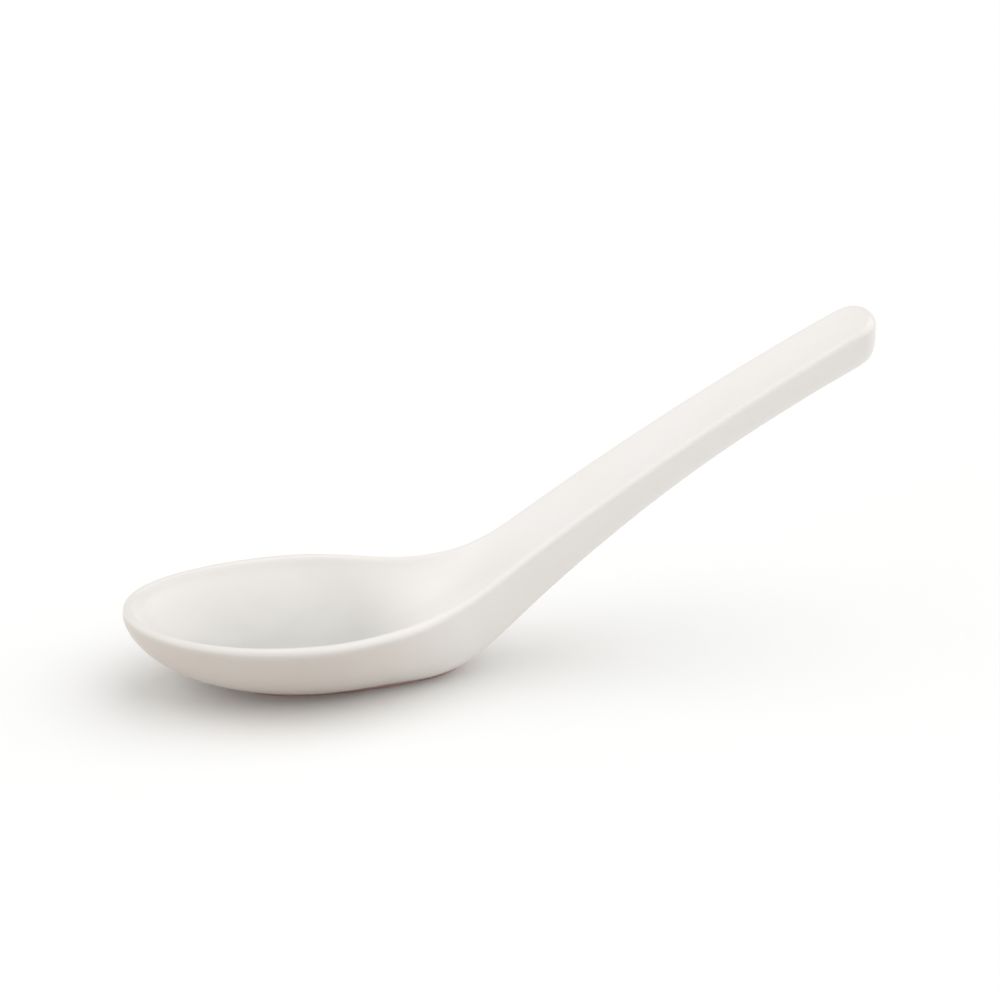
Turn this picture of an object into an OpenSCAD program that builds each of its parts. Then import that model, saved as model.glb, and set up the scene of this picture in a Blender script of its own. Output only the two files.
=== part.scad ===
// Porcelain soup spoon with an oval bowl, a flat foot and a handle that rises from the back of the bowl.
// The clay is one piece, bowl and handle together, and the glaze is a thin skin of its own over it.
// The origin is in the middle of the foot on the table, X points to the end of the handle and Z up.
// Places along the spoon are measured from the tip of the bowl, in millimetres.

/* [Spoon] */

// Length from the tip of the bowl to the end of the handle, along the table
spoon_length = 135; // [120:1:155]

/* [Bowl] */

// Width across the rim
bowl_width = 43; // [38:0.5:48]

// Height of the rim above the table
rim_height = 14.8; // [13:0.2:17]

// Height by which the tip stands above the rest of the rim
tip_lift = 1.2; // [0:0.1:2.4]

// Thickness of the rim along the sides
rim_thickness = 2.7; // [2.2:0.1:3.2]

// Thickness of the rim at the tip
tip_thickness = 1.7; // [1.4:0.1:2.2]

// Thickness of the bottom of the bowl
floor_thickness = 5.2; // [4.6:0.1:6]

/* [Handle] */

// Width where the handle leaves the bowl
neck_width = 18; // [15:0.2:21]

// Width at the end
end_width = 14; // [11:0.2:16]

// Height of the side at the neck
neck_depth = 12.2; // [11:0.2:13.4]

// Height of the side at the end
end_depth = 8; // [7:0.2:9.4]

// Slope of the top where it is steepest, in degrees
steep_angle = 35; // [30:1:40]

// Slope of the top at the end, in degrees
end_angle = 27; // [20:1:32]

// Depth of the shallow hollow along the top
dish_depth = 0.5; // [0.3:0.1:1]

// Depth of the hollow along the back of the handle, at the neck
back_hollow = 6.2; // [4.4:0.2:6.8]

/* [Foot] */

// Length of the flat foot
foot_length = 40.4; // [38:0.2:43]

// Width of the flat foot
foot_width = 17.2; // [15.4:0.2:18.8]

// Depth to which the round underside would reach below the table if the foot weren't flat
keel_sink = 0.6; // [0.4:0.1:0.9]

/* [Glaze] */

// Thickness of the glaze
glaze_thickness = 0.3; // [0.2:0.05:0.4]

/* [Hidden] */

clay_colour = [0.86, 0.76, 0.70];
glaze_colour = [0.95, 0.94, 0.91];

// Places along the spoon, as shares of its length
widest_share = 0.235;
neck_share = 0.53;
foot_share = 0.294;
bend_share = 0.345;
bend_radius_share = 0.288;
thick_share = 0.55;
thin_share = 0.84;
keel_share = 0.305;
edge_shares = [0.28, 0.54];
ramp_shares = [0.29, 0.52];
front_floor_share = 0.19;
under_shares = [0.32, 0.56];
back_shares = [0.45, 0.55, 0.9, 0.98];

widest = widest_share * spoon_length;
neck = neck_share * spoon_length;
foot_place = foot_share * spoon_length;
bend_start = bend_share * spoon_length;
bend_radius = bend_radius_share * spoon_length;
thick_place = thick_share * spoon_length;
thin_place = thin_share * spoon_length;
keel_place = keel_share * spoon_length;
edge_places = edge_shares * spoon_length;
ramp_places = ramp_shares * spoon_length;
front_floor = front_floor_share * spoon_length;
under_places = under_shares * spoon_length;
back_places = back_shares * spoon_length;

// The top edge bends up in an arc and then eases off to the end
bend_end = bend_start + bend_radius * sin(steep_angle);
bend_rise = bend_radius * (1 - cos(steep_angle));

// Roundings, as shares of the sizes that they belong to
rim_radius = rim_thickness / 2;
tip_radius = tip_thickness / 2;
edge_share = 0.95;
edge_radius = rim_radius * edge_share;
end_round_share = 0.34;
end_round = end_round_share * end_width;
heel_round_share = 0.32;
heel_round = heel_round_share * neck_depth;
under_round_share = 0.2;
under_round = under_round_share * end_depth;

// The hollow of the back spans this much of the width of the handle
back_width_share = 0.78;

// The foot reaches up into the bottom of the bowl by this much
foot_reach_share = 0.4;
foot_taper_share = 0.16;
foot_reach = foot_reach_share * floor_thickness;

// Powers that set how full each curve is, two being an ellipse
ellipse_powers = [2, 2];
foot_power = 2.3;
end_power = 2.35;
under_power = 2.5;
lift_power = 3;
keel_powers = [2.4, 1.8];
bowl_powers = [2.5, 1.5];
handle_powers = [4, 2.6];
floor_powers = [2, 1.9];
hollow_powers = [1.9, 1.3];
dish_powers = [2, 1];
back_powers = [2, 0.5];

// Angles through which the rounded edge turns, from its outer side over the top
rim_turn = 140;
edge_turn = 100;

// Steps of the mesh along the front, the middle and the end, across the faces and over the edge
front_steps = 14;
middle_steps = 34;
end_steps = 8;
across_steps = 20;
edge_steps = 6;
foot_steps = 72;

// The glaze is wiped off the underside up to this height above the table
wipe_height = glaze_thickness;

// A cut reaches this far past what it cuts
overrun = spoon_length;

function mix(a, b, t) = a + (b - a) * t;
function share(v) = max(0, min(1, v));
function ease(t) = let (s = share(t)) s * s * (3 - 2 * s);
function fall(t, powers) = pow(max(0, 1 - pow(share(t), powers[0])), 1 / powers[1]);
function soft_max(a, b, r) = max(a, b) + pow(max(0, r - abs(a - b)), 2) / (4 * r);

// Zero in the bowl and one on the handle, for the top and for the underside
function on_handle(d) = ease((d - edge_places[0]) / (edge_places[1] - edge_places[0]));
function under_handle(d) = ease((d - under_places[0]) / (under_places[1] - under_places[0]));

// Half of the width of the spoon, half an ellipse in front and then a sweep in to the handle
function handle_half(d) =
    mix(neck_width, end_width, (d - neck) / (spoon_length - neck)) / 2
    * fall((d - spoon_length + end_round) / end_round, [end_power, end_power]);

function half_width(d) =
    d < widest
    ? bowl_width / 2 * fall((widest - d) / widest, ellipse_powers)
    : mix(bowl_width / 2, handle_half(d), ease((d - widest) / (neck - widest)));

// Height of the top edge
function rise(d) =
    d <= bend_start ? 0 :
    d <= bend_end ? bend_radius - sqrt(pow(bend_radius, 2) - pow(d - bend_start, 2)) :
    let (past = d - bend_end, slope = tan(steep_angle))
    bend_rise + slope * past
    + (tan(end_angle) - slope) * pow(past, 2) / (2 * (spoon_length - bend_end));

function crest(d) = rim_height + tip_lift * pow(share((widest - d) / widest), lift_power) + rise(d);

function round_radius(d) =
    mix(mix(tip_radius, rim_radius, ease(d / widest)), edge_radius, on_handle(d));

function round_turn(d) = mix(rim_turn, edge_turn, on_handle(d));

// Height of the underside along the middle
function side_depth(d) =
    end_depth
    + (neck_depth - end_depth) * pow(max(0, thin_place - d) / (thin_place - thick_place), 2);

function keel(d) =
    let (
        top = crest(d) - round_radius(d),
        low = soft_max(-keel_sink, crest(d) - side_depth(d), heel_round),
        front = fall((keel_place - d) / keel_place, keel_powers),
        back = fall((d - spoon_length + under_round) / under_round, [under_power, under_power])
    )
    mix(top, low, min(front, back));

// Depth of the hollow of the back, which fades out at the heel and toward the end
function back_depth(d) =
    back_hollow * side_depth(d) / neck_depth
    * ease((d - back_places[0]) / (back_places[1] - back_places[0]))
    * (1 - ease((d - back_places[2]) / (back_places[3] - back_places[2])));

// Height of the floor of the bowl and of the handle's top along the middle
function inner_edge(d) = crest(d) - round_radius(d) * (1 - sin(round_turn(d)));

function floor_line(d) =
    let (
        edge = inner_edge(d),
        level = mix(floor_thickness, edge - dish_depth,
            ease((d - ramp_places[0]) / (ramp_places[1] - ramp_places[0]))),
        front = fall((front_floor - d) / (front_floor - tip_thickness), floor_powers),
        back = fall((d - spoon_length + end_width) / (end_width - rim_thickness), floor_powers)
    )
    mix(edge, level, min(front, back));

// Stations from the tip to the end, closer together where the outline turns
stations = concat(
    [for (i = [0 : front_steps - 1]) widest * (1 - cos(90 * i / front_steps))],
    [for (i = [0 : middle_steps - 1]) mix(widest, spoon_length - end_round, i / middle_steps)],
    [for (i = [0 : end_steps]) spoon_length - end_round * (1 - sin(90 * i / end_steps))]
);
last = len(stations) - 1;
loop = 2 * last;

// The outline of the spoon seen from above, once round from the tip and back
function outline_point(i) =
    let (n = (i + loop) % loop, s = n <= last ? n : loop - n, d = stations[s])
    [d, (n <= last ? -1 : 1) * (s == 0 || s == last ? 0 : half_width(d))];

outline = [for (i = [0 : loop - 1]) outline_point(i)];

function inward(i) =
    let (along = outline[(i + 1) % loop] - outline[(i + loop - 1) % loop])
    [-along[1], along[0]] / norm(along);

// A point on the rounded edge, with step zero on the outer side
function edge_point(i, step, cover) =
    let (
        d = outline[i][0],
        radius = round_radius(d),
        centre = outline[i] + radius * inward(i),
        turn = round_turn(d) * step / edge_steps,
        place = centre - (radius - cover) * cos(turn) * inward(i)
    )
    [place[0], place[1], crest(centre[0]) - radius + (radius - cover) * sin(turn)];

// A point on a face that spans the spoon from its near edge to its far edge
function across(step) = -cos(180 * step / across_steps);

function span_point(edge, middle, powers, step) =
    let (s = across(step))
    [edge[0], abs(edge[1]) * s, mix(edge[2], middle, fall(abs(s), powers))];

function top_point(i, step, cover) =
    let (edge = edge_point(i, edge_steps, cover))
    span_point(edge, floor_line(edge[0]) - cover,
        mix(hollow_powers, dish_powers, on_handle(edge[0])), step);

function under_point(i, step, cover) =
    let (
        edge = edge_point(i, 0, cover),
        lift = back_depth(edge[0]) * fall(abs(across(step)) / back_width_share, back_powers)
    )
    span_point(edge, keel(edge[0]) + cover, mix(bowl_powers, handle_powers, under_handle(edge[0])), step)
    + [0, 0, lift];

// Numbers of the points: the edge all round first, then the top face and the underside
edge_count = loop * (edge_steps + 1);
face_count = (last - 1) * (across_steps - 1);

function edge_number(i, step) = (i % loop) * (edge_steps + 1) + step;

function face_number(i, step, first, side) =
    step == 0 || i == 0 || i == last ? edge_number(i, side) :
    step == across_steps ? edge_number(loop - i, side) :
    first + (i - 1) * (across_steps - 1) + step - 1;

function turned(face, flip) = flip ? [for (n = [len(face) - 1 : -1 : 0]) face[n]] : face;

function face_strip(first, side, flip) = concat(
    [for (i = [1 : last - 2], step = [0 : across_steps - 1]) turned([
        face_number(i, step, first, side),
        face_number(i, step + 1, first, side),
        face_number(i + 1, step + 1, first, side),
        face_number(i + 1, step, first, side)
    ], flip)],
    [for (step = [0 : across_steps - 1]) turned([
        face_number(0, step, first, side),
        face_number(1, step + 1, first, side),
        face_number(1, step, first, side)
    ], flip)],
    [for (step = [0 : across_steps - 1]) turned([
        face_number(last, step, first, side),
        face_number(last - 1, step, first, side),
        face_number(last - 1, step + 1, first, side)
    ], flip)]
);

form_faces = concat(
    [for (i = [0 : loop - 1], step = [0 : edge_steps - 1]) [
        edge_number(i, step),
        edge_number(i, step + 1),
        edge_number(i + 1, step + 1),
        edge_number(i + 1, step)
    ]],
    face_strip(edge_count, edge_steps, false),
    face_strip(edge_count + face_count, 0, true)
);

// A point on the outline of the foot, which narrows a little toward the handle
function foot_point(turn) =
    let (side = sign(sin(turn)) * (1 - foot_taper_share * cos(turn)))
    [foot_length / 2 * cos(turn), foot_width / 2 * side * fall(abs(cos(turn)), [foot_power, foot_power])];

// The whole shape of the spoon without its foot, drawn in by the thickness of its cover
module spoon_form(cover) {
    translate([-foot_place, 0, 0])
        polyhedron(
            concat(
                [for (i = [0 : loop - 1], step = [0 : edge_steps]) edge_point(i, step, cover)],
                [for (i = [1 : last - 1], step = [1 : across_steps - 1]) top_point(i, step, cover)],
                [for (i = [1 : last - 1], step = [1 : across_steps - 1]) under_point(i, step, cover)]
            ),
            form_faces,
            convexity = 8
        );
}

// A block with the outline of the foot, from a height up into the bottom of the bowl
module foot_block(bottom) {
    translate([0, 0, bottom])
        linear_extrude(foot_reach - bottom)
            polygon([for (i = [0 : foot_steps - 1]) foot_point(360 * i / foot_steps)]);
}

// Everything lower than a height above the table
module below(height) {
    translate([-overrun, -overrun, height - overrun])
        cube([2 * overrun, 2 * overrun, overrun]);
}

// Fired clay, bowl and handle in one, with a flat foot under the bowl
module porcelain_body() {
    color(clay_colour) {
        difference() {
            spoon_form(glaze_thickness);
            below(wipe_height);
        }
        foot_block(0);
    }
}

// Glassy skin over the clay, open where the foot comes through
module glaze_coat() {
    color(glaze_colour)
        difference() {
            spoon_form(0);
            spoon_form(glaze_thickness);
            foot_block(-overrun);
            below(wipe_height);
        }
}

porcelain_body();
glaze_coat();
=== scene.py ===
"""Porcelain soup spoon: a glazed body on a bare clay foot, on a pale table in soft studio light."""
import math

import bmesh
import bpy
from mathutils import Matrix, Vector


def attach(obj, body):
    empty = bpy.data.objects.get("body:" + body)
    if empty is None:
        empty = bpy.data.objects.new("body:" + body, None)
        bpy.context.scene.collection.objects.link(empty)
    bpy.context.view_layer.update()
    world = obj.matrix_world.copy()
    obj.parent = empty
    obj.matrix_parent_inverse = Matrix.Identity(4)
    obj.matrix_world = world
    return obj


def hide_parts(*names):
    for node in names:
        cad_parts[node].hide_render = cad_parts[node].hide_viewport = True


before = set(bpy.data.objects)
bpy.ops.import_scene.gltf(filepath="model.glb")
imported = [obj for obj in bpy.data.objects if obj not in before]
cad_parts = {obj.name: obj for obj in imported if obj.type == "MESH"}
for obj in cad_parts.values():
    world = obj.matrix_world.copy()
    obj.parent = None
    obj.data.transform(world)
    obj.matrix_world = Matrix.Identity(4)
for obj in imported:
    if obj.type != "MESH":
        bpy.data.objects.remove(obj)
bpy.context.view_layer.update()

# Lengths below are in millimetres. Points that are close count as one in a search, and doubles are merged
MM = 0.001
CLOSE = MM / 10
MERGE = MM / 1000

# The bowl: its places along the spoon are measured from its tip
FOOT_PLACE = 39.69
WIDEST_PLACE = 31.725
BOWL_HALF_WIDTH = 21.5
RIM_HEIGHT = 14.8
TIP_LIFT = 1.2
TIP_LIFT_POWER = 3
BOWL_FLOOR = 5.2
BOWL_UNDERSIDE = 0.4
LIP_RADIUS = 1.35
TIP_RADIUS = 0.85
LIP_DROP = 0.8
GLAZE = 0.3

# The foot: a flat plate that reaches up into the floor of the bowl
FOOT_LENGTH = 40.4
FOOT_WIDTH = 17.2
FOOT_TAPER = 0.16
FOOT_REACH = 3
FOOT_ROUNDING = 50
FOOT_PROFILE = 0.547
FOOT_SEGMENTS = 14
FOOT_EDGE = 0.25
FOOT_EDGE_SEGMENTS = 3

# The area around the foot: how square its outline is and how high it goes, and then the shares of the foot's
# size that are evened out, each with the number of rounds
FOOT_POWER = 2.3
FOOT_SEARCH = 3
FOOT_SOFTENING = ((1.1, 8), (1.2, 3), (1.3, 1))

# The guide is grown by this much to make up for what rounding takes off the edges. On the CAD clay, the sole
# of the foot faces down and its side faces neither up nor down
GUIDE_GROWTH = 0.03
SOLE_TURN = -0.999
FOOT_SIDE_TURN = 0.05
QUAD_BEND = 40
QUAD_SKEW = 60
FIT_ROUNDS = 3

# Loops by the lip that are softened, with the number of rounds, the last rib that this reaches, and how far
# up a point has to face
LIP_SOFTENING = (((2,), 8), ((2, 3), 4))
LIP_RIBS = 12
LIP_TURN = 0.3

# How far a point moves in each round, and the angle from which an edge is left sharp
SOFTENING_STEP = 0.5
SHARP_EDGE = 40

# Ribs behind the widest place: place, half width, edge, floor, underside and hollow of the back
RIBS = (
    (37.0, 21.0, 14.8, 5.2, -0.4, 0.0),
    (42.0, 19.6, 14.8, 5.4, -0.4, 0.0),
    (47.0, 17.6, 14.8, 6.5, -0.4, 0.0),
    (52.0, 15.4, 15.2, 8.4, -0.3, 0.0),
    (57.0, 13.1, 16.2, 11.3, 0.4, 0.0),
    (62.0, 11.1, 18.0, 15.0, 2.8, 0.2),
    (67.0, 9.6, 20.6, 19.3, 6.7, 3.1),
    (73.0, 9.0, 24.7, 23.9, 12.2, 6.2),
    (80.0, 8.7, 29.4, 28.6, 18.4, 5.6),
    (88.0, 8.5, 34.7, 33.9, 24.9, 5.0),
    (97.0, 8.2, 40.4, 39.6, 31.6, 4.4),
    (106.0, 7.9, 45.8, 45.0, 37.7, 4.1),
    (115.0, 7.6, 51.1, 50.2, 43.1, 4.1),
    (122.0, 7.4, 55.0, 54.1, 47.0, 4.0),
    (127.5, 7.2, 57.9, 57.3, 49.9, 1.7),
    (131.0, 7.1, 59.8, 59.4, 51.8, 0.2),
    (133.6, 5.5, 61.1, 61.1, 53.5, 0.0),
    (134.7, 3.1, 61.6, 61.6, 54.0, 0.0),
)
FRONT_RIBS = 6
LAST_RIB = FRONT_RIBS + len(RIBS) + 1

# The end of the handle, and the number of the rib above that the loops of the end are drawn in to
END_PLACE = 135.0
END_EDGE = 61.8
END_HUB = 14

# Loops of the hollow, of the bowl's underside and of the handle's sides and back:
# share of the way out from the middle, and share of the drop
HOLLOW_LOOPS = ((0.9, 0.32), (0.72, 0.6), (0.48, 0.83), (0.22, 0.96))
UNDER_LOOPS = ((0.985, 0.2), (0.94, 0.38), (0.85, 0.57), (0.7, 0.77), (0.48, 0.91), (0.22, 0.99))
HANDLE_LOOPS = ((0.995, 0.16), (0.985, 0.36), (0.97, 0.6), (0.92, 0.82), (0.66, 0.95), (0.3, 0.99))

# The underside changes from the bowl's loops to the handle's between these places, and the hollow of the back
# ends at this share of the half width
HANDLE_SPAN = (45, 70)
BACK_SHARE = 0.78

# The bowl's floor is greyer: partly glaze that gathers there, partly painted shade in the hollow. The bowl's
# outside is darker and warmer where it faces down and out, which is painted shade. Both fade out between
# these places, measured from the middle of the foot. The hollow faces up more than the one turn, the outside
# less than the other
POOLING_AND_SHADE_FADE = (2, 22)
LOW_FADE = (-12, 28)
INSIDE_TURN = 0.2
LOW_TURN = 0.55

# Edges that turn this sharply are darker and warmer: partly glaze running thinner there, partly painted shade
# that dulls the lit lip. The handle's edges have only a share of this, and its sides only a share of the
# painted shade of the bowl's outside
THIN_TURN = 0.09
EDGE_SHARE = 0.4
SIDE_SHARE = 0.14

GLAZE_PALE = (0.87, 0.845, 0.82)
GLAZE_CREAM = (0.86, 0.83, 0.795)
# The grey of the bowl's floor: glaze that gathers there, and painted shade in the hollow
GLAZE_GATHERED_AND_SHADE = (0.55, 0.54, 0.51)
# Darker, warmer edges: glaze running thinner there, and painted shade that dulls the lit lip
GLAZE_THIN_AND_SHADE = (0.7, 0.67, 0.63)
# Painted shade on the bowl's outside and the handle's sides, darker and warmer where they face down
GLAZE_LOW_SHADE = (0.61, 0.545, 0.49)
GLAZE_SPECK = (0.22, 0.19, 0.16)
GLAZE_ROUGHNESS = (0.29, 0.37)
GLAZE_IOR = 1.52
CLAY_PINK = (0.6, 0.37, 0.33)
CLAY_PALE = (0.68, 0.47, 0.42)
CLAY_DARK = (0.42, 0.24, 0.2)
CLAY_ROUGHNESS = (0.75, 0.95)
CLAY_SHEEN = 0.25

# Cloudy patterns: features to the metre, detail, and how rough the fine ones are
GLAZE_CLOUD = (40, 3)
GLAZE_DRIFT = (150, 4)
GLAZE_WAVE = (90, 2)
GLAZE_PEEL = (900, 2)
CLAY_CLOUD = (160, 4)
CLAY_GRIT = (2600, 3, 0.65)
WAVE_DEPTH = 0.06
PEEL_DEPTH = 0.004
GRIT_DEPTH = 0.03

# The part of a pattern's range that counts, and how strongly a colour is laid on
CLOUD_SPAN = (0.35, 0.65)
DRIFT_SPAN = (0.3, 0.7)
GRIT_SPAN = (0.55, 0.75)
FULL_SPAN = (0, 1)
POOLING_AND_SHADE_STRENGTH = (0.9, 1)
THIN_AND_SHADE_STRENGTH = (0, 0.5)
GRIT_STRENGTH = (0, 0.5)

# Specks: cells to the metre, where a speck begins and ends in its cell, and which cells have one
SPECK_CELLS = 110
SPECK_EDGE = (0.015, 0.03)
SPECK_CHANCE = (0.72, 0.74)
SPECK_STRENGTH = (0, 0.45)

# Sockets of the node that mixes two colours
MIX_BASE, MIX_LAID, MIX_RESULT = 6, 7, 2

TABLE_SIZE = 40
TABLE_COLOUR = (0.9, 0.9, 0.89)
TABLE_ROUGHNESS = 0.9
KEY_FROM = (0.55, 0, 0.83)
KEY_POWER = 1.74
KEY_SPREAD = 90
SIDE_FROM = (-0.87, 0, 0.5)
SIDE_POWER = 1.3
SIDE_SPREAD = 90
SURROUND_COLOUR = (1, 1, 1)
SURROUND_POWER = 0.455

CAMERA_AZIMUTH = -12.2
CAMERA_ELEVATION = 22.4
CAMERA_DISTANCE = 600
CAMERA_AIM = (27.73, 0, 30.68)
CAMERA_LENS = 122.276
CAMERA_SENSOR = 36


def select_only(*objects):
    bpy.ops.object.select_all(action="DESELECT")
    for item in objects:
        item.select_set(True)
    bpy.context.view_layer.objects.active = objects[0]


def edit(piece):
    select_only(piece)
    bpy.ops.object.mode_set(mode="EDIT")
    bpy.ops.mesh.select_mode(type="VERT")


def leave():
    bpy.ops.object.mode_set(mode="OBJECT")


def drop_selection(mesh):
    for part in (*mesh.faces, *mesh.edges, *mesh.verts):
        part.select = False


def pick(piece, wanted):
    """Selects in edit mode the points that pass a test, and the edges and faces between them."""
    mesh = bmesh.from_edit_mesh(piece.data)
    drop_selection(mesh)
    for point in mesh.verts:
        if wanted(point):
            point.select = True
    mesh.select_flush(True)
    bmesh.update_edit_mesh(piece.data)


def pick_faces(piece, wanted):
    """Selects in edit mode the faces that pass a test on the face and its middle."""
    bpy.ops.mesh.select_mode(type="FACE")
    mesh = bmesh.from_edit_mesh(piece.data)
    drop_selection(mesh)
    for face in mesh.faces:
        if wanted(face, face.calc_center_median()):
            face.select = True
    bmesh.update_edit_mesh(piece.data)


def number_picked(piece, **numbers):
    """Writes a rib or loop number on the selected points."""
    mesh = bmesh.from_edit_mesh(piece.data)
    for name, value in numbers.items():
        layer = mesh.verts.layers.int[name]
        for point in mesh.verts:
            if point.select:
                point[layer] = value
    bmesh.update_edit_mesh(piece.data)


def number_layers(piece):
    """The layers that hold the loop and rib numbers of a mesh in edit mode."""
    layers = bmesh.from_edit_mesh(piece.data).verts.layers.int
    return layers["loop"], layers["rib"]


def on_loop(piece, loop, rib=None):
    loops, ribs = number_layers(piece)
    return lambda point: point[loops] == loop and (rib is None or point[ribs] == rib)


def along(place):
    return (place - FOOT_PLACE) * MM


def ease(share):
    share = max(0, min(1, share))
    return share * share * (3 - 2 * share)


def face_outward(piece):
    edit(piece)
    bpy.ops.mesh.select_all(action="SELECT")
    bpy.ops.mesh.normals_make_consistent(inside=False)
    leave()


def apply_modifier(piece, kind, **settings):
    select_only(piece)
    change = piece.modifiers.new(kind.title(), kind)
    for name, value in settings.items():
        setattr(change, name, value)
    bpy.ops.object.modifier_apply(modifier=change.name)


def shade_smooth(piece):
    select_only(piece)
    bpy.ops.object.shade_smooth_by_angle(angle=math.radians(SHARP_EDGE))


def front_turn(rib):
    """Angle of a rib of the front, from nothing at the tip to a quarter turn at the widest place."""
    return math.radians(90 * rib / FRONT_RIBS)


def draw_outline():
    """The outer edge of the spoon: half an ellipse in front, then both ends drawn on to the handle's end."""
    bpy.ops.object.select_all(action="DESELECT")
    middle = along(WIDEST_PLACE)
    bpy.ops.mesh.primitive_circle_add(
        vertices=4 * FRONT_RIBS, radius=BOWL_HALF_WIDTH * MM,
        location=(middle, 0, (RIM_HEIGHT - LIP_RADIUS) * MM))
    spoon = bpy.context.object
    spoon.name = spoon.data.name = "spoon_glaze"
    bpy.ops.object.transform_apply(location=True, rotation=True, scale=True)
    edit(spoon)
    mesh = bmesh.from_edit_mesh(spoon.data)
    mesh.verts.layers.int.new("rib")
    mesh.verts.layers.int.new("loop")
    bmesh.update_edit_mesh(spoon.data)
    bpy.ops.mesh.select_all(action="SELECT")
    bpy.ops.transform.resize(
        value=(WIDEST_PLACE / BOWL_HALF_WIDTH, 1, 1), center_override=(middle, 0, 0))
    pick(spoon, lambda point: point.co.x > middle + MM)
    bpy.ops.mesh.delete(type="VERT")
    for rib in range(FRONT_RIBS + 1):
        share = math.cos(front_turn(rib))
        pick(spoon, lambda point: abs(middle - WIDEST_PLACE * share * MM - point.co.x) < CLOSE)
        number_picked(spoon, rib=rib)
        bpy.ops.transform.translate(value=(0, 0, TIP_LIFT * share ** TIP_LIFT_POWER * MM))
    place, half, height = WIDEST_PLACE, BOWL_HALF_WIDTH, RIM_HEIGHT
    for rib, (new_place, new_half, new_height, *_) in enumerate(RIBS, FRONT_RIBS):
        pick(spoon, on_loop(spoon, 0, rib))
        bpy.ops.mesh.extrude_vertices_move(TRANSFORM_OT_translate={
            "value": ((new_place - place) * MM, 0, (new_height - height) * MM)})
        bpy.ops.transform.resize(value=(1, new_half / half, 1), center_override=(0, 0, 0))
        number_picked(spoon, rib=rib + 1)
        place, half, height = new_place, new_half, new_height
    pick(spoon, on_loop(spoon, 0, LAST_RIB - 1))
    bpy.ops.mesh.edge_face_add()
    bpy.ops.mesh.subdivide(number_cuts=1)
    pick(spoon, lambda point: point.co.x > along(place) - CLOSE and abs(point.co.y) < MM)
    bpy.ops.transform.translate(value=((END_PLACE - place) * MM, 0, (END_EDGE - height) * MM))
    number_picked(spoon, rib=LAST_RIB)
    return spoon


def rib_lines(rib):
    """Outline, hub and heights of one rib; the hub is the point that its loops are drawn in to."""
    if rib <= FRONT_RIBS:
        share = math.cos(front_turn(rib))
        return dict(
            x=WIDEST_PLACE * (1 - share), y=BOWL_HALF_WIDTH * math.sin(front_turn(rib)),
            edge=RIM_HEIGHT + TIP_LIFT * share ** TIP_LIFT_POWER, hub=WIDEST_PLACE, hub_edge=RIM_HEIGHT,
            floor=BOWL_FLOOR, under=BOWL_UNDERSIDE, back=0, reach=WIDEST_PLACE, half=BOWL_HALF_WIDTH)
    if rib <= FRONT_RIBS + END_HUB:
        place, half, edge, floor, under, back = RIBS[rib - FRONT_RIBS - 1]
        return dict(
            x=place, y=half, edge=edge, hub=place, hub_edge=edge, floor=floor, under=under, back=back,
            reach=half, half=half)
    if rib < LAST_RIB:
        place, half, edge = RIBS[rib - FRONT_RIBS - 1][:3]
    else:
        place, half, edge = END_PLACE, 0, END_EDGE
    hub, hub_half, hub_edge, floor, under, back = RIBS[END_HUB - 1]
    return dict(
        x=place, y=half, edge=edge, hub=hub, hub_edge=hub_edge, floor=floor, under=under, back=back / 2,
        reach=END_PLACE - hub, half=hub_half)


def lay_loop(spoon, start, loop, spot):
    """Extrudes a loop from another one and brings each pair of its points to its spot."""
    pick(spoon, on_loop(spoon, start))
    bpy.ops.mesh.extrude_region_move()
    number_picked(spoon, loop=loop)
    for rib in range(LAST_RIB + 1):
        x, y, z = spot(rib_lines(rib))
        pick(spoon, on_loop(spoon, loop, rib))
        mesh = bmesh.from_edit_mesh(spoon.data)
        now = next(point.co for point in mesh.verts if point.select)
        step = (along(x) - now.x, 0, z * MM - now.z)
        wider = y * MM / abs(now.y) if abs(now.y) > CLOSE else 1
        bpy.ops.transform.resize(value=(1, wider, 1), center_override=(0, 0, 0))
        bpy.ops.transform.translate(value=step)


def close_loop(spoon, loop):
    """Joins the near and far halves of the innermost loop with rungs, and fills its two ends."""
    loops, ribs = number_layers(spoon)
    pick(spoon, lambda point: point[loops] == loop and 0 < point[ribs] < LAST_RIB)
    bpy.ops.mesh.bridge_edge_loops()
    for pair in ((0, 1), (LAST_RIB - 1, LAST_RIB)):
        loops, ribs = number_layers(spoon)
        pick(spoon, lambda point: point[loops] == loop and point[ribs] in pair)
        bpy.ops.mesh.edge_face_add()


def lip_radius(line):
    """The lip is thinner at the tip of the bowl than along its sides."""
    return TIP_RADIUS + (LIP_RADIUS - TIP_RADIUS) * ease(line["x"] / WIDEST_PLACE)


def drawn_in(line, inset, share):
    """Place along, half width and share of the way out of a rib's point that lies in from the outline."""
    away = 1 - inset / line["reach"] if line["hub"] != line["x"] else 1
    x = line["hub"] + (line["x"] - line["hub"]) * away * share
    return x, line["y"] * (1 - inset / line["half"]) * share, away * share


def edge_height(line, share):
    """Height of the edge above a point that lies a share of the way out from the hub."""
    return line["hub_edge"] + (line["edge"] - line["hub_edge"]) * share


def lip_spot(inset, drop):
    def spot(line):
        x, y, rest = drawn_in(line, inset * lip_radius(line), 1)
        depth = min(drop * lip_radius(line), (line["hub_edge"] - line["floor"]) / 2)
        return x, y, edge_height(line, rest) - depth
    return spot


def hollow_spot(share, drop):
    def spot(line):
        x, y, rest = drawn_in(line, 2 * lip_radius(line), share)
        return x, y, edge_height(line, rest) - (line["hub_edge"] - line["floor"]) * drop
    return spot


def under_spot(bowl, handle):
    def spot(line):
        blend = ease((line["hub"] - HANDLE_SPAN[0]) / (HANDLE_SPAN[1] - HANDLE_SPAN[0]))
        share, drop = (low + (high - low) * blend for low, high in zip(bowl, handle))
        x, y, rest = drawn_in(line, 0, share)
        lift = line["back"] * max(0, 1 - (share / BACK_SHARE) ** 2) ** 2
        return x, y, edge_height(line, rest) - (line["hub_edge"] - line["under"]) * drop + lift
    return spot


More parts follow.
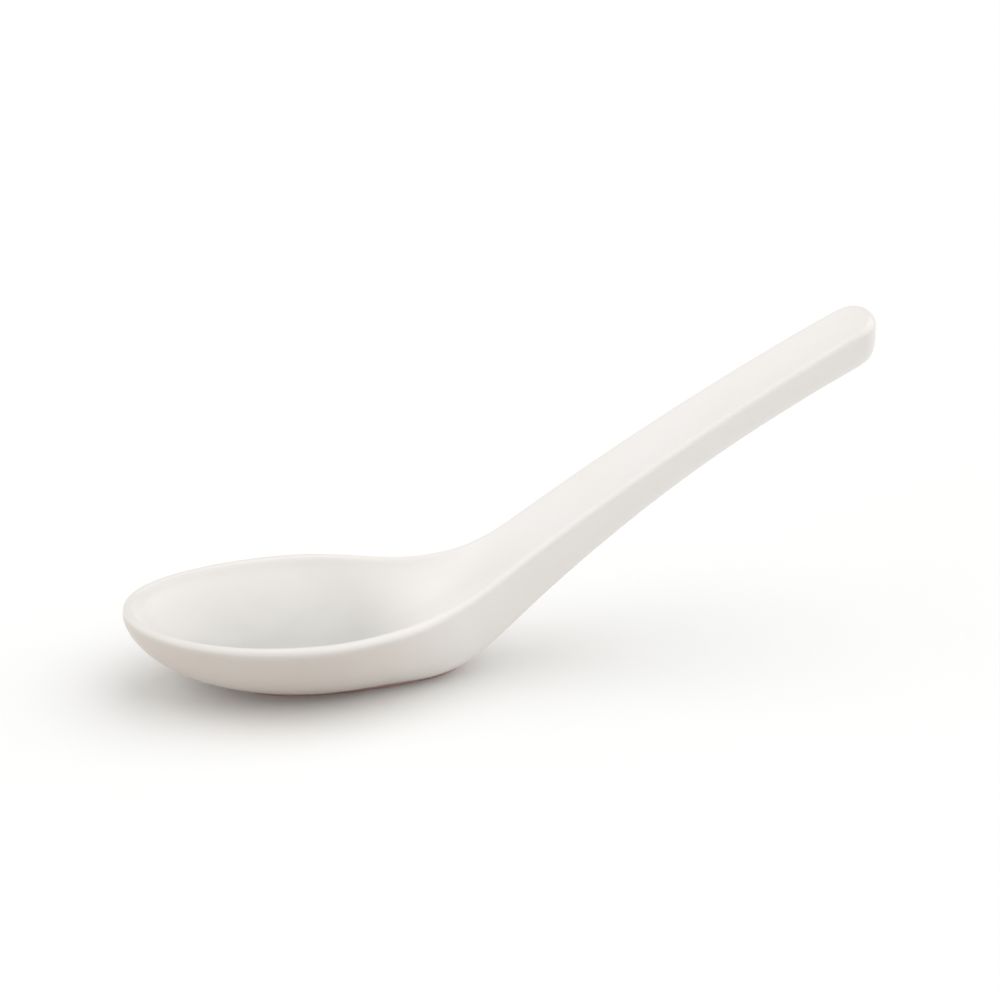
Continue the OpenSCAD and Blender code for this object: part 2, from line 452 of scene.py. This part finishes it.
def model_cage():
    """A coarse cage of the spoon: its lip, the hollow down to the floor, and the underside."""
    spoon = draw_outline()
    lay_loop(spoon, 0, 1, lip_spot(1, 0))
    lay_loop(spoon, 1, 2, lip_spot(2, LIP_DROP))
    loop = 2
    for share, drop in HOLLOW_LOOPS:
        lay_loop(spoon, loop, loop + 1, hollow_spot(share, drop))
        loop += 1
    close_loop(spoon, loop)
    start = 0
    for bowl, handle in zip(UNDER_LOOPS, HANDLE_LOOPS):
        loop += 1
        lay_loop(spoon, start, loop, under_spot(bowl, handle))
        start = loop
    close_loop(spoon, loop)
    leave()
    face_outward(spoon)
    return spoon


def make_guide():
    """A smooth copy of the clay, grown by the glaze and with its foot taken off, to fit the cage to."""
    select_only(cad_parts["porcelain_body"])
    bpy.ops.object.duplicate()
    guide = bpy.context.object
    edit(guide)
    bpy.ops.mesh.select_all(action="SELECT")
    bpy.ops.mesh.remove_doubles(threshold=MERGE)
    pick_faces(guide, lambda face, middle: (
        middle.z < FOOT_SEARCH * MM and abs(middle.x) < (FOOT_LENGTH / 2 + FOOT_EDGE) * MM
        and (face.normal.z < SOLE_TURN or abs(face.normal.z) < FOOT_SIDE_TURN)))
    bpy.ops.mesh.delete(type="FACE")
    bpy.ops.mesh.select_mode(type="VERT")
    bpy.ops.mesh.select_all(action="SELECT")
    bpy.ops.mesh.fill_holes(sides=0)
    bpy.ops.mesh.select_all(action="SELECT")
    bpy.ops.mesh.tris_convert_to_quads(
        face_threshold=math.radians(QUAD_BEND), shape_threshold=math.radians(QUAD_SKEW))
    bpy.ops.transform.shrink_fatten(value=(GLAZE + GUIDE_GROWTH) * MM)
    leave()
    apply_modifier(guide, "SUBSURF", levels=1, render_levels=1)
    return guide


def fit_to_guide(spoon, guide):
    """Rounds the cage out in steps, with its points brought to the guide before each."""
    for _ in range(FIT_ROUNDS):
        apply_modifier(spoon, "SHRINKWRAP", target=guide, wrap_method="NEAREST_SURFACEPOINT")
        apply_modifier(spoon, "SUBSURF", levels=1, render_levels=1)
    bpy.data.objects.remove(guide)
    face_outward(spoon)


def in_foot(point, share):
    """Says whether a point lies inside the outline of the foot, drawn at a share of its size."""
    x = point.x / (share * FOOT_LENGTH / 2 * MM)
    y = point.y / (share * FOOT_WIDTH / 2 * MM * (1 - FOOT_TAPER * x))
    return abs(x) ** FOOT_POWER + abs(y) ** FOOT_POWER < 1


def soften(spoon):
    """Rounds the inner side of the lip into the hollow, and evens out the underside around the foot."""
    edit(spoon)
    for loops, repeats in LIP_SOFTENING:
        loop, rib = number_layers(spoon)
        pick(spoon, lambda point: (
            point[loop] in loops and point[rib] <= LIP_RIBS and point.normal.z > LIP_TURN))
        bpy.ops.mesh.vertices_smooth(factor=SOFTENING_STEP, repeat=repeats)
    for share, repeats in FOOT_SOFTENING:
        pick(spoon, lambda point: (
            point.normal.z < 0 and point.co.z < FOOT_SEARCH * MM and in_foot(point.co, share)))
        bpy.ops.mesh.vertices_smooth(factor=SOFTENING_STEP, repeat=repeats)
    leave()


def model_foot():
    """The flat clay foot: a plate a little wider in front, with full round ends and a worn lower edge."""
    bpy.ops.object.select_all(action="DESELECT")
    bpy.ops.mesh.primitive_plane_add(size=MM, location=(0, 0, 0))
    foot = bpy.context.object
    edit(foot)
    bpy.ops.mesh.select_all(action="SELECT")
    bpy.ops.transform.resize(value=(FOOT_LENGTH, FOOT_WIDTH, 1), center_override=(0, 0, 0))
    for end, wider in ((-1, 1 + FOOT_TAPER), (1, 1 - FOOT_TAPER)):
        pick(foot, lambda point: point.co.x * end > 0)
        bpy.ops.transform.resize(value=(1, wider, 1), center_override=(0, 0, 0))
    bpy.ops.mesh.select_all(action="SELECT")
    bpy.ops.mesh.bevel(offset_type="PERCENT", offset_pct=FOOT_ROUNDING, segments=FOOT_SEGMENTS,
                       profile=FOOT_PROFILE, affect="VERTICES")
    bpy.ops.mesh.select_all(action="SELECT")
    bpy.ops.mesh.remove_doubles(threshold=MERGE)
    bpy.ops.mesh.extrude_region_move(TRANSFORM_OT_translate={"value": (0, 0, FOOT_REACH * MM)})
    pick(foot, lambda point: point.co.z < CLOSE)
    bpy.ops.mesh.bevel(offset=FOOT_EDGE * MM, segments=FOOT_EDGE_SEGMENTS, affect="EDGES")
    bpy.ops.mesh.select_all(action="SELECT")
    bpy.ops.mesh.normals_make_consistent(inside=False)
    leave()
    return foot


def model_clay(spoon, foot):
    """The clay under the glaze, drawn in by the thickness of the glaze, with the foot that comes through."""
    select_only(spoon)
    bpy.ops.object.duplicate()
    clay = bpy.context.object
    edit(clay)
    bpy.ops.mesh.select_all(action="SELECT")
    bpy.ops.transform.shrink_fatten(value=-(GLAZE + GUIDE_GROWTH) * MM)
    leave()
    apply_modifier(clay, "BOOLEAN", object=foot, operation="UNION", solver="EXACT")
    clay.name = clay.data.name = "spoon_clay"
    shade_smooth(clay)
    return clay


def open_glaze(spoon, foot):
    """Gives the glaze its thickness and takes it off where the foot comes through."""
    apply_modifier(spoon, "SOLIDIFY", thickness=GLAZE * MM, offset=-1)
    apply_modifier(spoon, "BOOLEAN", object=foot, operation="DIFFERENCE", solver="EXACT")
    bpy.data.objects.remove(foot)
    shade_smooth(spoon)


def fade(x, places):
    """One before the first place, nothing after the second, and a soft change between them."""
    return 1 - ease((x / MM - places[0]) / (places[1] - places[0]))


def mark_glaze(spoon):
    """Notes on the mesh where the bowl's floor is greyer (glaze that gathers, and painted shade), where
    edges are darker (thinner glaze, and painted shade on the lip) and where the outside gets darker and
    warmer painted shade.
    """
    shape = bmesh.new()
    shape.from_mesh(spoon.data)
    middle = along(WIDEST_PLACE)
    fill_height = RIM_HEIGHT - LIP_RADIUS
    pooling_and_shade, thin, low = [], [], []
    for point in shape.verts:
        spot, facing = point.co, point.normal
        # Greyer bowl floor, more so deeper in the hollow: glaze that gathers, and painted shade
        depth = (fill_height - spot.z / MM) / (fill_height - BOWL_FLOOR)
        inside = facing.z > INSIDE_TURN and spot.x < POOLING_AND_SHADE_FADE[1] * MM
        pooling_and_shade.append(max(0, min(1, depth)) * fade(spot.x, POOLING_AND_SHADE_FADE) if inside else 0)
        # Painted shade: darker and warmer where the outside faces down and out, most near the foot, a share
        # on the handle's sides
        outward = facing.x * (spot.x - middle) + facing.y * spot.y > 0
        share = ease((LOW_TURN - facing.z) / LOW_TURN) if outward or facing.z < 0 else 0
        near = fade(spot.x, LOW_FADE)
        low.append(share * max(near, SIDE_SHARE * abs(facing.y)))
        # Darker edges where the surface turns convex: thinner glaze, and painted shade on the lit lip
        turns = [edge.calc_face_angle_signed(0) for edge in point.link_edges]
        turn = max(0, min(1, sum(turns) / len(turns) / THIN_TURN))
        thin.append(turn * max(near, EDGE_SHARE))
    shape.free()
    for name, values in (("pooling_and_shade", pooling_and_shade), ("thin", thin), ("low", low)):
        layer = spoon.data.attributes.new(name, "FLOAT", "POINT")
        layer.data.foreach_set("value", values)


def new_material(name):
    material = bpy.data.materials.new(name)
    material.use_nodes = True
    return material, material.node_tree.nodes, material.node_tree.links


def mark(nodes, name):
    """What was noted on the mesh under a name."""
    node = nodes.new("ShaderNodeAttribute")
    node.attribute_name = name
    return node.outputs["Fac"]


def noise(nodes, links, place, scale, detail, roughness=0.5):
    """Cloudy pattern on the piece's own coordinates, with its scale in features to the metre."""
    node = nodes.new("ShaderNodeTexNoise")
    node.inputs["Scale"].default_value = scale
    node.inputs["Detail"].default_value = detail
    node.inputs["Roughness"].default_value = roughness
    links.new(place.outputs["Object"], node.inputs["Vector"])
    return node.outputs["Fac"]


def spread(nodes, links, value, span, result=FULL_SPAN):
    """Brings the span of a value to another span."""
    node = nodes.new("ShaderNodeMapRange")
    for name, number in zip(("From Min", "From Max", "To Min", "To Max"), (*span, *result)):
        node.inputs[name].default_value = number
    links.new(value, node.inputs["Value"])
    return node.outputs["Result"]


def times(nodes, links, first, second):
    node = nodes.new("ShaderNodeMath")
    node.operation = "MULTIPLY"
    links.new(first, node.inputs[0])
    links.new(second, node.inputs[1])
    return node.outputs["Value"]


def tint(nodes, links, share, base, colour):
    """Lays a colour over a base, which is a colour or an output, by a share from zero to one."""
    node = nodes.new("ShaderNodeMix")
    node.data_type = "RGBA"
    links.new(share, node.inputs["Factor"])
    if isinstance(base, tuple):
        node.inputs[MIX_BASE].default_value = (*base, 1)
    else:
        links.new(base, node.inputs[MIX_BASE])
    node.inputs[MIX_LAID].default_value = (*colour, 1)
    return node.outputs[MIX_RESULT]


def bump(nodes, links, height, depth, under=None):
    """Raises a pattern by a depth in millimetres, over another relief if there is one."""
    node = nodes.new("ShaderNodeBump")
    node.inputs["Strength"].default_value = 1
    node.inputs["Distance"].default_value = depth * MM
    links.new(height, node.inputs["Height"])
    if under:
        links.new(under, node.inputs["Normal"])
    return node.outputs["Normal"]


def speck_share(nodes, links, place):
    """Small round specks, one in the middle of some of the cells."""
    cells = nodes.new("ShaderNodeTexVoronoi")
    cells.inputs["Scale"].default_value = SPECK_CELLS
    links.new(place.outputs["Object"], cells.inputs["Vector"])
    chance = nodes.new("ShaderNodeSeparateColor")
    links.new(cells.outputs["Color"], chance.inputs["Color"])
    speck = times(nodes, links, spread(nodes, links, cells.outputs["Distance"], SPECK_EDGE, (1, 0)),
                  spread(nodes, links, chance.outputs["Red"], SPECK_CHANCE))
    return spread(nodes, links, speck, FULL_SPAN, SPECK_STRENGTH)


def glaze_material():
    """Glossy warm white glaze with faint waves and specks: greyer on the bowl's floor (glaze that gathers,
    and painted shade), darker and warmer outside (painted shade) and on edges (thinner glaze, and painted
    shade).
    """
    material, nodes, links = new_material("glaze")
    shader = nodes["Principled BSDF"]
    place = nodes.new("ShaderNodeTexCoord")
    cloud = noise(nodes, links, place, *GLAZE_CLOUD)
    drift = noise(nodes, links, place, *GLAZE_DRIFT)
    gathered_and_shade = times(nodes, links, mark(nodes, "pooling_and_shade"),
                     spread(nodes, links, drift, DRIFT_SPAN, POOLING_AND_SHADE_STRENGTH))
    thin = spread(nodes, links, mark(nodes, "thin"), FULL_SPAN, THIN_AND_SHADE_STRENGTH)
    colour = tint(nodes, links, spread(nodes, links, cloud, CLOUD_SPAN), GLAZE_PALE, GLAZE_CREAM)
    # Painted shade in the hollow, together with the glaze that gathers there
    colour = tint(nodes, links, gathered_and_shade, colour, GLAZE_GATHERED_AND_SHADE)
    # Painted shade on the bowl's outside and the handle's sides
    colour = tint(nodes, links, mark(nodes, "low"), colour, GLAZE_LOW_SHADE)
    # Edges: thinner glaze, and painted shade on the lip
    colour = tint(nodes, links, thin, colour, GLAZE_THIN_AND_SHADE)
    colour = tint(nodes, links, speck_share(nodes, links, place), colour, GLAZE_SPECK)
    links.new(colour, shader.inputs["Base Color"])
    shader.inputs["IOR"].default_value = GLAZE_IOR
    links.new(spread(nodes, links, drift, DRIFT_SPAN, GLAZE_ROUGHNESS), shader.inputs["Roughness"])
    wave = bump(nodes, links, noise(nodes, links, place, *GLAZE_WAVE), WAVE_DEPTH)
    peel = bump(nodes, links, noise(nodes, links, place, *GLAZE_PEEL), PEEL_DEPTH, wave)
    links.new(peel, shader.inputs["Normal"])
    return material


def clay_material():
    """Bare fired clay: matte and pinkish, with fine grit and a few paler rubbed places."""
    material, nodes, links = new_material("bare_clay")
    shader = nodes["Principled BSDF"]
    place = nodes.new("ShaderNodeTexCoord")
    cloud = noise(nodes, links, place, *CLAY_CLOUD)
    grit = noise(nodes, links, place, *CLAY_GRIT)
    colour = tint(nodes, links, spread(nodes, links, cloud, CLOUD_SPAN), CLAY_PINK, CLAY_PALE)
    colour = tint(nodes, links, spread(nodes, links, grit, GRIT_SPAN, GRIT_STRENGTH), colour, CLAY_DARK)
    links.new(colour, shader.inputs["Base Color"])
    links.new(spread(nodes, links, grit, DRIFT_SPAN, CLAY_ROUGHNESS), shader.inputs["Roughness"])
    shader.inputs["Specular IOR Level"].default_value = CLAY_SHEEN
    links.new(bump(nodes, links, grit, GRIT_DEPTH), shader.inputs["Normal"])
    return material


def finish_piece(piece, material, node):
    piece.data.materials.clear()
    piece.data.materials.append(material)
    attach(piece, "root")
    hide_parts(node)


def lay_table():
    bpy.ops.object.select_all(action="DESELECT")
    bpy.ops.mesh.primitive_plane_add(size=TABLE_SIZE, location=(0, 0, 0))
    table = bpy.context.object
    table.name = "table"
    material, nodes, _ = new_material("pale_table")
    nodes["Principled BSDF"].inputs["Base Color"].default_value = (*TABLE_COLOUR, 1)
    nodes["Principled BSDF"].inputs["Roughness"].default_value = TABLE_ROUGHNESS
    table.data.materials.append(material)


def light_studio():
    """Two very wide soft lights, high on the right and lower on the left, and an even pale surround."""
    for name, source, power, width in (("right_light", KEY_FROM, KEY_POWER, KEY_SPREAD),
                                       ("left_light", SIDE_FROM, SIDE_POWER, SIDE_SPREAD)):
        light = bpy.data.lights.new(name, "SUN")
        light.energy = power
        light.angle = math.radians(width)
        lamp = bpy.data.objects.new(name, light)
        bpy.context.scene.collection.objects.link(lamp)
        lamp.rotation_euler = (-Vector(source)).to_track_quat("-Z", "Y").to_euler()
    world = bpy.data.worlds.new("studio")
    bpy.context.scene.world = world
    world.use_nodes = True
    surround = world.node_tree.nodes["Background"]
    surround.inputs["Color"].default_value = (*SURROUND_COLOUR, 1)
    surround.inputs["Strength"].default_value = SURROUND_POWER


def set_camera():
    """A long lens in front of the spoon and a little to its left, with plain colours."""
    azimuth, elevation = math.radians(CAMERA_AZIMUTH), math.radians(CAMERA_ELEVATION)
    away = Vector((math.sin(azimuth) * math.cos(elevation), -math.cos(azimuth) * math.cos(elevation),
                   math.sin(elevation)))
    lens = bpy.data.cameras.new("camera")
    lens.lens = CAMERA_LENS
    lens.sensor_width = CAMERA_SENSOR
    camera = bpy.data.objects.new("camera", lens)
    bpy.context.scene.collection.objects.link(camera)
    camera.location = Vector(CAMERA_AIM) * MM + CAMERA_DISTANCE * MM * away
    camera.rotation_euler = (-away).to_track_quat("-Z", "Y").to_euler()
    bpy.context.scene.camera = camera
    bpy.context.scene.view_settings.view_transform = "Standard"


spoon = model_cage()
fit_to_guide(spoon, make_guide())
soften(spoon)
foot = model_foot()
clay = model_clay(spoon, foot)
open_glaze(spoon, foot)
mark_glaze(spoon)
finish_piece(spoon, glaze_material(), "glaze_coat")
finish_piece(clay, clay_material(), "porcelain_body")
lay_table()
light_studio()
set_camera()
